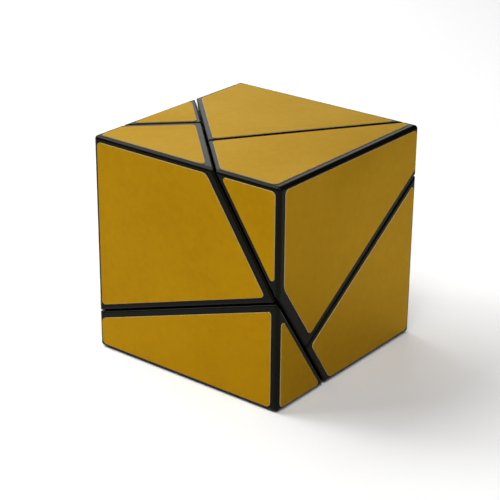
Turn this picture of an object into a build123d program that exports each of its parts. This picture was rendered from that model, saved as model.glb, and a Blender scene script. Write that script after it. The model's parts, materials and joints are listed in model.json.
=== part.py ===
"""A 2 x 2 x 2 twisty cube puzzle whose three cuts are tilted away from its faces.

Solved, it is a plain cube. One cut passes through the middle of the cube and splits it into a
left half and a right half. The other two cuts are square to that one and to each other. In the
solved cube they are twisted about the main cut's axis by TWIST between the two halves, so the
seams of the halves do not meet: the halves have to be turned into line before the other cuts
can turn. All three cuts meet at the mechanism's centre, which is off the cube's centre.

Each of the eight outer pieces is a shell, an inner base with a stalk and a foot, and its
stickers. Inside is a six-armed core with screws, springs, washers and centre caps, and twelve
hidden edge pieces. Every surface that slides when a half turns is a sphere about the
mechanism's centre or a plane square to the axis, so nothing catches at any angle.

Axes: +Z up, -Y the front face, +X the right face. The origin is under the cube's centre, on the
surface that the lowest stickers stand on.
"""
from build123d import *
from math import cos, radians, sin, sqrt, tan
import os

# Driving dimensions, in millimetres and degrees
CUBE = 60.0                # edge of the plastic cube
MAIN_CUT_TILT = 25.2       # tilt of the main cut's axis above the horizontal
CENTRE_OFFSET = 7.4        # from the cube's centre to the mechanism's centre
TWIST = 23.8               # turn of the right half's cuts against the left half's
CUT_GAP = 0.3              # running gap between outer pieces at every cut
EDGE_RADIUS = 1.0          # rounding of the cube's own edges
LIP_RADIUS = 0.55          # rounding of the edges along the cuts
WALL = 2.0                 # wall of the shells and bases
FIT_GAP = 0.05             # gap between a shell and its base

STICKER_THICKNESS = 0.2
STICKER_MARGIN = 0.45      # plastic left showing round a sticker, past a rounding of EDGE_RADIUS
STICKER_SETBACK = 1.25     # how far back from each corner a sticker's rounding starts, at least
STICKER_TIP = 0.75         # smallest radius at a sticker's sharp corners
SMALLEST_STICKERED = 20.0  # area of the smallest flat face that has a sticker

# Mechanism, as radii from its centre and half-widths of its middle slices
FOOT_INNER = 8.6           # the layer of feet
FOOT_OUTER = 11.3
WING_INNER = 11.6          # the layer of wings over the feet
WING_OUTER = 15.0
RECESS = 15.3              # hollow under the outer pieces
FOOT_HALF = 3.4            # half-width of a centre's foot
WING_HALF = 5.0            # half-width of a centre's wing, and of the middle slices
SLICE_GAP = 0.2            # gap between neighbours inside the mechanism

CORE_BALL = 6.0
ARM_RADIUS = 2.3
ARM_TIP = 8.15
SCREW_RADIUS = 0.95
SCREW_BORE = 1.0
SCREW_START = 4.2
SCREW_HEAD_RADIUS = 2.25
SCREW_HEAD_BOTTOM = 13.05
SCREW_HEAD_TOP = 14.35
DRIVE_WIDTH = 0.6
DRIVE_LENGTH = 2.6
DRIVE_DEPTH = 0.7
WASHER_THICKNESS = 0.4
CAP_HOLE = 1.25
CAP_WEB_TOP = 10.2
CAP_BORE = 2.7
SPRING_WIRE = 0.22
SPRING_RADIUS = 1.7
SPRING_TURNS = 3.5
AXIAL_GAP = 0.05           # gap between stacked pieces on an arm

LARGE = 4 * CUBE           # bigger than anything it cuts

CUBE_CENTRE = Vector(0, 0, STICKER_THICKNESS + CUBE / 2)
MAIN_AXIS = Vector(
    cos(radians(MAIN_CUT_TILT)) / sqrt(2),
    cos(radians(MAIN_CUT_TILT)) / sqrt(2),
    sin(radians(MAIN_CUT_TILT)),
)
LEFT_CUT = Vector(1 / sqrt(2), -1 / sqrt(2), 0)
PIVOT = CUBE_CENTRE - LEFT_CUT * CENTRE_OFFSET

# In a half's own frame the cuts are the planes x = 0, y = 0 and z = 0, with the main axis as z.
RIGHT_CUT = LEFT_CUT.rotate(Axis(origin=(0, 0, 0), direction=MAIN_AXIS), TWIST)
LEFT_FRAME = Plane(origin=PIVOT, x_dir=LEFT_CUT, z_dir=MAIN_AXIS)
RIGHT_FRAME = Plane(origin=PIVOT, x_dir=RIGHT_CUT, z_dir=MAIN_AXIS)

# The outer pieces: name, half, and the signs of x, y and z in the half's frame
CORNERS = [
    ("front", LEFT_FRAME, (1, -1, -1)),
    ("left", LEFT_FRAME, (-1, -1, -1)),
    ("bottom_front", LEFT_FRAME, (1, 1, -1)),
    ("bottom_left", LEFT_FRAME, (-1, 1, -1)),
    ("top_front", RIGHT_FRAME, (1, -1, 1)),
    ("top_back", RIGHT_FRAME, (-1, -1, 1)),
    ("right", RIGHT_FRAME, (1, 1, 1)),
    ("back", RIGHT_FRAME, (-1, 1, 1)),
]

FACES = {
    "left": Vector(-1, 0, 0),
    "right": Vector(1, 0, 0),
    "front": Vector(0, -1, 0),
    "rear": Vector(0, 1, 0),
    "bottom": Vector(0, 0, -1),
    "top": Vector(0, 0, 1),
}

# The stickers are cut and put on by hand. For these, by piece and face: how far the sticker sits
# off the middle of its face, and how much more or less plastic than STICKER_MARGIN it leaves.
STICKER_FITS = {
    ("front", "front"): (Vector(-0.2, 0, -0.1), 0),
    ("front", "top"): (Vector(-0.05, -0.5, 0), 0.1),
    ("left", "top"): (Vector(0.2, -0.35, 0), -0.3),
    ("bottom_front", "front"): (Vector(-0.5, 0, -0.55), 0.1),
    ("bottom_front", "right"): (Vector(0, -0.05, -0.3), -0.15),
    ("top_front", "front"): (Vector(0.1, 0, 0.1), -0.1),
    ("top_front", "right"): (Vector(0, 0.55, 0.5), 0.15),
    ("top_front", "top"): (Vector(-0.6, -0.3, 0), 0),
    ("top_back", "top"): (Vector(0.5, -0.5, 0), -0.35),
    ("right", "right"): (Vector(0, 0, -0.1), -0.2),
}

# Middle pieces stay with the right half, and those on the negative side of z turn with the left.
AXIS_NAMES = "xyz"


def frame_of(signs):
    """The half's frame that a hidden piece lies in: the left one below the middle slice."""
    return LEFT_FRAME if signs[2] < 0 else RIGHT_FRAME


def sign_word(signs):
    """A piece's place in words: p and m for plus and minus along the axes it lies on."""
    letters = {1: "p", -1: "m"}
    return "_".join(letters[s] + a for s, a in zip(signs, AXIS_NAMES) if s)


def wedge(signs, inner, middle=None):
    """The space on the signed side of each cut, from inner outwards.

    Where a sign is 0 the space is the slice between -middle and +middle.
    """
    sizes = [LARGE if s else 2 * middle for s in signs]
    centres = [s * (inner + LARGE / 2) for s in signs]
    return Pos(*centres) * Box(*sizes)


def layer(inner, outer):
    """A spherical layer about the mechanism's centre."""
    return Sphere(outer) - Sphere(inner)


def export(part, name):
    """Write one sub-part, with its name on it."""
    part.label = name
    export_step(part, "parts/" + name + ".step")


def whole_cube():
    """The solved cube, without its stickers or its roundings."""
    return Pos(*CUBE_CENTRE) * Box(CUBE, CUBE, CUBE)


def block(frame, signs):
    """An outer piece as a solid block: the cube cut by its three planes, with rounded lips and edges."""
    cut = whole_cube() & (frame * wedge(signs, CUT_GAP / 2))
    cut_normals = [frame.x_dir, frame.y_dir, frame.z_dir]
    lips = ShapeList()
    for flat in cut.faces():
        if any(abs(flat.normal_at().dot(normal)) > 0.999 for normal in cut_normals):
            lips += [edge for edge in flat.edges() if edge not in lips]
    return fillet(lips, LIP_RADIUS) & fillet(whole_cube().edges(), EDGE_RADIUS)


def sticker_guide(frame, signs):
    """The same piece with every edge rounded alike: its flat faces are what the stickers follow."""
    cut = whole_cube() & (frame * wedge(signs, CUT_GAP / 2))
    return fillet(cut.edges(), EDGE_RADIUS)


def inner_box(inset):
    """The cube's inside, inset from its faces."""
    side = CUBE - 2 * inset
    return Pos(*CUBE_CENTRE) * Box(side, side, side)


def shell(solid, frame):
    """The outer walls of a piece, open towards the cuts."""
    return solid - inner_box(WALL) - frame * Sphere(RECESS)


def base(solid, frame, signs):
    """The three cut faces and the spherical hollow of a piece, with its stalk and foot."""
    tray = solid & inner_box(WALL + FIT_GAP)
    tray -= frame * (wedge(signs, CUT_GAP / 2 + WALL) - Sphere(RECESS + WALL))
    tray -= frame * Sphere(RECESS)
    stalk = wedge(signs, WING_HALF + SLICE_GAP / 2) & layer(FOOT_OUTER - 1, RECESS + WALL / 2)
    foot = wedge(signs, FOOT_HALF + SLICE_GAP / 2) & layer(FOOT_INNER, FOOT_OUTER)
    return tray + frame * (stalk + foot)


def rounded_outline(corners):
    """A closed outline with rounded corners; the blunter a corner is, the rounder."""
    count = len(corners)
    ways = [(corners[(i + 1) % count] - corners[i]).normalized() for i in range(count)]
    lengths = [(corners[(i + 1) % count] - corners[i]).length for i in range(count)]
    arcs = []
    for i, corner in enumerate(corners):
        half_turn = radians(ways[i - 1].get_angle(ways[i])) / 2
        wanted = max(STICKER_SETBACK, STICKER_TIP * tan(half_turn))
        setback = min(wanted, 0.4 * lengths[i - 1], 0.4 * lengths[i])
        radius = setback / tan(half_turn)
        inwards = (ways[i] - ways[i - 1]).normalized()
        middle = corner + inwards * radius * (1 / cos(half_turn) - 1)
        arcs.append(ThreePointArc(corner - ways[i - 1] * setback, middle, corner + ways[i] * setback))
    lines = [Line(arcs[i - 1] @ 1, arcs[i] @ 0) for i in range(count)]
    return Wire([edge for line, arc in zip(lines, arcs) for edge in (line, arc)])


def sticker(flat, normal, margin):
    """One sticker on a flat face of a piece: the face's outline inside a margin."""
    inset = flat.outer_wire().offset_2d(-margin, kind=Kind.INTERSECTION)
    corners = [edge.position_at(0) for edge in inset.order_edges()]
    return extrude(Face(rounded_outline(corners)), amount=STICKER_THICKNESS, dir=normal)


def stickers(name, guide):
    """A sticker on every flat outside face of a piece."""
    made = []
    for side, normal in FACES.items():
        for flat in guide.faces().filter_by(GeomType.PLANE):
            outward = flat.normal_at().dot(normal) > 0.999
            if outward and flat.area > SMALLEST_STICKERED:
                shift, more = STICKER_FITS.get((name, side), (Vector(0, 0, 0), 0))
                made.append(Pos(shift) * sticker(flat, normal, STICKER_MARGIN + more))
    return Compound(children=made)


def hidden_edge(signs):
    """A hidden edge: a foot under the centres' wings, and wings over the corners' feet."""
    half = SLICE_GAP / 2
    foot = wedge(signs, FOOT_HALF + half, FOOT_HALF - half) & layer(FOOT_INNER, FOOT_OUTER)
    neck = wedge(signs, WING_HALF + half, FOOT_HALF - half) & layer(FOOT_OUTER - 1, WING_INNER + 1)
    wing = wedge(signs, WING_HALF + half, WING_HALF - half) & layer(WING_INNER, WING_OUTER)
    return foot + neck + wing


def on_arm(signs):
    """A frame on one arm of the core, with z along the arm and x and y square to the slices."""
    direction = Vector(*signs)
    x_dir = Vector(0, 1, 0) if signs[0] else Vector(1, 0, 0)
    return Plane(origin=(0, 0, 0), x_dir=x_dir, z_dir=direction)


def rod(radius, bottom, top):
    """A round rod along z, from bottom to top."""
    return Pos(0, 0, bottom) * Cylinder(radius, top - bottom, align=(Align.CENTER, Align.CENTER, Align.MIN))


def centre_cap(signs):
    """A centre cap, with a web for its screw and a bore for the spring."""
    half = SLICE_GAP / 2
    foot = wedge((0, 0, 1), 0, FOOT_HALF - half) & layer(FOOT_INNER, FOOT_OUTER)
    neck = wedge((0, 0, 1), 0, FOOT_HALF - half) & layer(FOOT_OUTER - 1, WING_INNER + 1)
    wing = wedge((0, 0, 1), 0, WING_HALF - half) & layer(WING_INNER, WING_OUTER)
    cap = foot + neck + wing - rod(CAP_HOLE, 0, LARGE) - rod(CAP_BORE, CAP_WEB_TOP, LARGE)
    return on_arm(signs) * cap


def screw():
    """A screw with a cross recess in its head."""
    shank = rod(SCREW_RADIUS, SCREW_START, SCREW_HEAD_BOTTOM)
    head = rod(SCREW_HEAD_RADIUS, SCREW_HEAD_BOTTOM, SCREW_HEAD_TOP)
    drive_level = Pos(0, 0, SCREW_HEAD_TOP - DRIVE_DEPTH / 2)
    drive = Box(DRIVE_WIDTH, DRIVE_LENGTH, DRIVE_DEPTH) + Box(DRIVE_LENGTH, DRIVE_WIDTH, DRIVE_DEPTH)
    return shank + head - drive_level * drive


def washer():
    """The flat washer between a spring and its screw's head."""
    top = SCREW_HEAD_BOTTOM - AXIAL_GAP
    return rod(SCREW_HEAD_RADIUS, top - WASHER_THICKNESS, top) - rod(SCREW_BORE, 0, LARGE)


def spring():
    """The coil spring between a centre cap's web and its washer."""
    bottom = CAP_WEB_TOP + AXIAL_GAP + SPRING_WIRE
    top = SCREW_HEAD_BOTTOM - 2 * AXIAL_GAP - WASHER_THICKNESS - SPRING_WIRE
    path = Helix(pitch=(top - bottom) / SPRING_TURNS, height=top - bottom, radius=SPRING_RADIUS)
    section = Plane(origin=path @ 0, z_dir=path % 0) * Circle(SPRING_WIRE)
    return Pos(0, 0, bottom) * sweep(section, path=path, is_frenet=True)


ARMS = [(1, 0, 0), (-1, 0, 0), (0, 1, 0), (0, -1, 0), (0, 0, 1), (0, 0, -1)]


def core():
    """The six-armed core, with a blind bore in each arm."""
    body = Sphere(CORE_BALL)
    for signs in ARMS:
        body += on_arm(signs) * rod(ARM_RADIUS, 0, ARM_TIP)
    for signs in ARMS:
        body -= on_arm(signs) * rod(SCREW_BORE, SCREW_START - AXIAL_GAP, ARM_TIP + 1)
    return body


def on_every_arm(piece):
    """Six copies of a piece, one on each arm."""
    return Compound(children=[RIGHT_FRAME * (on_arm(signs) * piece) for signs in ARMS])


EDGES = [
    (x, y, z)
    for x in (-1, 0, 1)
    for y in (-1, 0, 1)
    for z in (-1, 0, 1)
    if abs(x) + abs(y) + abs(z) == 2
]

if __name__ == "__main__":
    os.makedirs("parts", exist_ok=True)
    for name, frame, signs in CORNERS:
        solid = block(frame, signs)
        export(shell(solid, frame), "shell_" + name)
        export(base(solid, frame, signs), "base_" + name)
        export(stickers(name, sticker_guide(frame, signs)), "stickers_" + name)
    for signs in EDGES:
        export(frame_of(signs) * hidden_edge(signs), "edge_" + sign_word(signs))
    for signs in ARMS:
        export(frame_of(signs) * centre_cap(signs), "centre_cap_" + sign_word(signs))
    export(RIGHT_FRAME * core(), "core")
    export(on_every_arm(screw()), "screws")
    export(on_every_arm(washer()), "washers")
    export(on_every_arm(spring()), "springs")
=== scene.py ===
"""The looks of a twisty cube puzzle: gold metallised stickers on semi-gloss black plastic.

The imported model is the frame. The shells, the bases and the mechanism keep their own meshes and
get materials. The stickers are rebuilt as gold films with worn edges that show a cream backing.
"""

import json
import math

import bmesh
import bpy
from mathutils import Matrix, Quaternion, Vector


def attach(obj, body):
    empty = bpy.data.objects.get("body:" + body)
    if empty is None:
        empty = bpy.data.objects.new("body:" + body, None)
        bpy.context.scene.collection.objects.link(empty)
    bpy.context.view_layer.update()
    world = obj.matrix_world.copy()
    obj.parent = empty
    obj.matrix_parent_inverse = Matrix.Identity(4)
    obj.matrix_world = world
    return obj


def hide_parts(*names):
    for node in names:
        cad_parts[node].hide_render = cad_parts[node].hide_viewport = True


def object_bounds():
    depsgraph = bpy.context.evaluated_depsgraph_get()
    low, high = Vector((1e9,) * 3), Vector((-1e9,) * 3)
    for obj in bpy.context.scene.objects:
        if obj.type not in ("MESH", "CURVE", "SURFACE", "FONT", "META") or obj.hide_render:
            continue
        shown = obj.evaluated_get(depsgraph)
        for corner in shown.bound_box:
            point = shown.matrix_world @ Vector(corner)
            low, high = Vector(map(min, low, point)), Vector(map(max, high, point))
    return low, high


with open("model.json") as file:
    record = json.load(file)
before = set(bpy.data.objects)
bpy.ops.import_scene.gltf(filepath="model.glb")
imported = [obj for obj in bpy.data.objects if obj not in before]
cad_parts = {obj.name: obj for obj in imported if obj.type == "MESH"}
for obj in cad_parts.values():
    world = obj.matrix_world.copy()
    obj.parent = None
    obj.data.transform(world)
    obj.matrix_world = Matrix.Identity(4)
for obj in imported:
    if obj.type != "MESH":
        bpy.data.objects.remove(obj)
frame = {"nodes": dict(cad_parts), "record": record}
CAD_LOW, CAD_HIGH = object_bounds()

MM = 0.001
CENTRE = (CAD_LOW + CAD_HIGH) / 2
STICKER = 0.2 * MM                 # a sticker's thickness
CUBE = CAD_HIGH.x - CAD_LOW.x - 2 * STICKER  # edge of the plastic cube

# The camera, round the cube's centre: degrees, and distance in cube edges
CAMERA_AZIMUTH = 37.90
CAMERA_ELEVATION = 22.81
CAMERA_DISTANCE = 6.890
VIEW_AZIMUTH = 38.18               # the way the camera looks, a little off the centre
VIEW_ELEVATION = 23.30
CAMERA_ROLL = 0.45
LENS = 111.8                       # focal length in millimetres
SENSOR = 36                        # width in millimetres

STICKER_EDGE = 0.07 * MM           # the worn edge of a sticker's top, where the film is gone
SMALLEST_TOP = 1e-6                # square metres; a smaller face of a sticker is not its top
WELD = 0.001 * MM                  # vertices closer than this are one
FLAT_ANGLE = math.radians(1)       # faces that meet at less than this are one flat face
GOLD, BACKING = 0, 1               # a film's material slots

FLOOR_RADIUS = 3.0                 # metres
FLOOR_GAP = 0.02 * MM              # from the floor up to the lowest stickers

LIGHT_DISTANCE = 0.9               # metres from the cube's centre
# The softboxes: name, azimuth and elevation in degrees, edge in metres, watts
SOFTBOXES = (
    ("key", -56, 46, 0.40, 3.0),
    ("left", -77, 33, 0.40, 3.2),
    ("high", -95, 56, 0.40, 2.0),
    ("back", -128, 32, 0.75, 2.85),
    ("overhead", 40, 60, 0.50, 4.5),
    ("side", 70, 35, 0.40, 1.2),
)
AMBIENT = 0.03                     # strength of the white world light


def direction(azimuth, elevation):
    """The unit vector from the object towards an azimuth and elevation in degrees."""
    a, e = math.radians(azimuth), math.radians(elevation)
    return Vector((math.sin(a) * math.cos(e), -math.cos(a) * math.cos(e), math.sin(e)))


# ---------------------------------------------------------------- materials


class Shader:
    """A material's node tree, with short ways to add nodes and join them."""

    def __init__(self, name):
        self.material = bpy.data.materials.new(name)
        self.material.use_nodes = True
        self.tree = self.material.node_tree
        self.tree.nodes.clear()
        self.surface = self.add("ShaderNodeBsdfPrincipled")
        output = self.add("ShaderNodeOutputMaterial")
        self.tree.links.new(self.surface.outputs[0], output.inputs["Surface"])
        self.place = self.add("ShaderNodeTexCoord").outputs["Object"]

    def add(self, kind, inputs=None, **settings):
        """A node of this kind; inputs maps a socket to a value or to another node's output."""
        node = self.tree.nodes.new(kind)
        for key, value in settings.items():
            setattr(node, key, value)
        for key, value in (inputs or {}).items():
            self.set(node, key, value)
        return node

    def set(self, node, key, value):
        """Give one input a value, or join another node's output to it."""
        if isinstance(value, bpy.types.NodeSocket):
            self.tree.links.new(value, node.inputs[key])
        else:
            node.inputs[key].default_value = value

    def look(self, **values):
        """Set the surface's own inputs: look(Roughness=0.4)."""
        for key, value in values.items():
            self.set(self.surface, key.replace("_", " "), value)

    def noise(self, scale, detail=2.0, stretch=(1, 1, 1)):
        """Noise with this many features a metre, from 0 to 1 around 0.5."""
        place = self.add("ShaderNodeMapping", {"Vector": self.place, "Scale": stretch}).outputs[0]
        inputs = {"Vector": place, "Scale": scale, "Detail": detail}
        return self.add("ShaderNodeTexNoise", inputs).outputs["Fac"]

    def remap(self, value, to_low=0.0, to_high=1.0, low=0.3, high=0.7):
        """value, which as noise lies mostly from low to high, taken to another range."""
        inputs = {"Value": value, 1: low, 2: high, 3: to_low, 4: to_high}
        return self.add("ShaderNodeMapRange", inputs).outputs[0]

    def maths(self, operation, a, b):
        """One sum on two values."""
        return self.add("ShaderNodeMath", {0: a, 1: b}, operation=operation).outputs[0]

    def blend(self, share, first, second):
        """A colour between first and second; sockets 6 and 7 are the node's colours."""
        node = self.add("ShaderNodeMix", data_type="RGBA")
        for index, value in ((0, share), (6, first), (7, second)):
            self.set(node, index, value)
        return node.outputs[2]

    def bump(self, height, distance, strength=1.0):
        """A bump of this height in metres, joined to the surface."""
        inputs = {"Height": height, "Distance": distance, "Strength": strength}
        self.look(Normal=self.add("ShaderNodeBump", inputs).outputs[0])


def gold_film():
    """Satin gold metallised film: fine grain, mottling and faint clouding."""
    shader = Shader("gold_film")
    grain = shader.noise(9000, 1.0)
    mottle = shader.noise(550, 3.0)
    cloud = shader.noise(45, 3.0)
    fine = shader.maths("MULTIPLY", grain, 0.2)
    coarse = shader.maths("MULTIPLY", mottle, 0.8)
    share = shader.remap(shader.maths("ADD", fine, coarse))
    shader.look(
        Base_Color=shader.blend(share, (0.376, 0.1965, 0.002, 1), (0.416, 0.2175, 0.002, 1)),
        Metallic=1.0,
        Roughness=shader.remap(cloud, 0.46, 0.54),
        Specular_Tint=(0.93, 1.0, 0.73, 1),
    )
    shader.bump(grain, 0.004 * MM, 0.5)
    return shader.material


def film_backing():
    """The cream vinyl that shows at a sticker's edge."""
    shader = Shader("film_backing")
    mottle = shader.remap(shader.noise(1500))
    shader.look(
        Base_Color=shader.blend(mottle, (0.44, 0.33, 0.12, 1), (0.52, 0.40, 0.16, 1)),
        Roughness=0.55,
    )
    return shader.material


def black_plastic(name, rough_low, rough_high, grain_height):
    """Moulded black plastic with a fine mould grain and faint rubbed patches."""
    shader = Shader(name)
    patches = shader.noise(120, 4.0)
    grain = shader.noise(5200, 2.0)
    tone = shader.remap(patches)
    shader.look(
        Base_Color=shader.blend(tone, (0.0024, 0.0024, 0.0019, 1), (0.0036, 0.0036, 0.0029, 1)),
        Roughness=shader.remap(patches, rough_low, rough_high, 0.35, 0.65),
        Specular_IOR_Level=0.07,
        Specular_Tint=(1.0, 1.0, 0.85, 1),
    )
    shader.bump(grain, grain_height, 0.6)
    return shader.material


def steel(name, colour, roughness):
    """Plated steel, with fine drawn lines in its tone."""
    shader = Shader(name)
    lines = shader.remap(shader.noise(2500, 3.0, (1, 1, 6)))
    dark = tuple(c * 0.8 for c in colour) + (1,)
    shader.look(
        Base_Color=shader.blend(lines, dark, colour + (1,)),
        Metallic=1.0,
        Roughness=roughness,
    )
    return shader.material


# ---------------------------------------------------------------- pieces


def dress(node, material):
    """Give a carried-over CAD node its material."""
    for material_slot in node.material_slots:
        material_slot.material = material


def is_top(face):
    """Whether a face of a sticker is its outer one, which looks away from the cube."""
    height = (face.calc_center_median() - CENTRE).dot(face.normal) - CUBE / 2
    return face.calc_area() > SMALLEST_TOP and height > STICKER / 2


def film(node, name, body, gold, backing):
    """The stickers of one piece, as gold films whose worn edges show the cream backing."""
    mesh = bpy.data.meshes.new(name)
    shape = bmesh.new()
    shape.from_mesh(node.data)
    bmesh.ops.remove_doubles(shape, verts=shape.verts, dist=WELD)
    bmesh.ops.dissolve_limit(
        shape, angle_limit=FLAT_ANGLE, verts=shape.verts, edges=shape.edges
    )
    shape.normal_update()
    tops = [face for face in shape.faces if is_top(face)]
    rims = [edge for edge in shape.edges if any(face in tops for face in edge.link_faces)]
    for face in shape.faces:
        face.material_index = GOLD if face in tops else BACKING
    bevelled = bmesh.ops.bevel(
        shape, geom=rims, offset=STICKER_EDGE, segments=2, affect="EDGES", clamp_overlap=True
    )
    for face in bevelled["faces"]:
        face.material_index = BACKING
    for face in shape.faces:
        face.smooth = False
    shape.to_mesh(mesh)
    shape.free()
    piece = bpy.data.objects.new(name, mesh)
    bpy.context.scene.collection.objects.link(piece)
    mesh.materials.append(gold)
    mesh.materials.append(backing)
    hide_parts(node.name)
    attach(piece, body)


def body_with(name):
    """The body that holds a node."""
    bodies = frame["record"]["behaviour"]["bodies"]
    return next(body for body, nodes in bodies.items() if name in nodes)


def build_pieces():
    """Every node's look, by the start of its name."""
    gold, backing = gold_film(), film_backing()
    looks = {
        "shell": black_plastic("shell_plastic", 0.12, 0.20, 0.002 * MM),
        "base": black_plastic("base_plastic", 0.34, 0.46, 0.008 * MM),
        "edge": black_plastic("inner_plastic", 0.3, 0.45, 0.008 * MM),
        "screws": steel("screw_steel", (0.60, 0.60, 0.62), 0.28),
        "springs": steel("spring_steel", (0.50, 0.50, 0.52), 0.22),
    }
    looks["centre"] = looks["core"] = looks["edge"]
    looks["washers"] = looks["screws"]
    for name, node in frame["nodes"].items():
        kind = name.split("_")[0]
        if kind == "stickers":
            film(node, name.replace("stickers", "film"), body_with(name), gold, backing)
        else:
            dress(node, looks[kind])


# ---------------------------------------------------------------- studio


def build_camera():
    """The camera, at the photograph's angle."""
    data = bpy.data.cameras.new("camera")
    data.lens = LENS
    data.sensor_width = SENSOR
    data.clip_start, data.clip_end = 0.01, 20
    camera = bpy.data.objects.new("camera", data)
    camera.location = CENTRE + direction(CAMERA_AZIMUTH, CAMERA_ELEVATION) * CAMERA_DISTANCE * CUBE
    looking = -direction(VIEW_AZIMUTH, VIEW_ELEVATION)
    roll = Quaternion((0, 0, 1), math.radians(CAMERA_ROLL))
    camera.rotation_mode = "QUATERNION"
    camera.rotation_quaternion = looking.to_track_quat("-Z", "Y") @ roll
    bpy.context.scene.collection.objects.link(camera)
    bpy.context.scene.camera = camera


def softbox(name, azimuth, elevation, size, power):
    """A square white area light that faces the cube."""
    data = bpy.data.lights.new(name, "AREA")
    data.size = size
    data.energy = power
    light = bpy.data.objects.new(name, data)
    light.location = CENTRE + direction(azimuth, elevation) * LIGHT_DISTANCE
    light.rotation_mode = "QUATERNION"
    light.rotation_quaternion = (-direction(azimuth, elevation)).to_track_quat("-Z", "Y")
    bpy.context.scene.collection.objects.link(light)


def build_floor():
    """A plain pale floor."""
    shape = bmesh.new()
    bmesh.ops.create_circle(shape, cap_ends=True, segments=96, radius=FLOOR_RADIUS)
    mesh = bpy.data.meshes.new("floor")
    shape.to_mesh(mesh)
    shape.free()
    floor = bpy.data.objects.new("floor", mesh)
    floor.location.z = CAD_LOW.z - FLOOR_GAP
    shader = Shader("floor_paint")
    shader.look(Base_Color=(0.86, 0.86, 0.86, 1), Roughness=0.9)
    mesh.materials.append(shader.material)
    bpy.context.scene.collection.objects.link(floor)


def build_studio():
    """White softboxes round the cube and a little light from all round."""
    world = bpy.data.worlds.new("studio")
    world.use_nodes = True
    background = world.node_tree.nodes["Background"]
    background.inputs["Color"].default_value = (1, 1, 1, 1)
    background.inputs["Strength"].default_value = AMBIENT
    bpy.context.scene.world = world
    bpy.context.scene.view_settings.view_transform = "Standard"
    for settings in SOFTBOXES:
        softbox(*settings)


build_pieces()
build_floor()
build_camera()
build_studio()
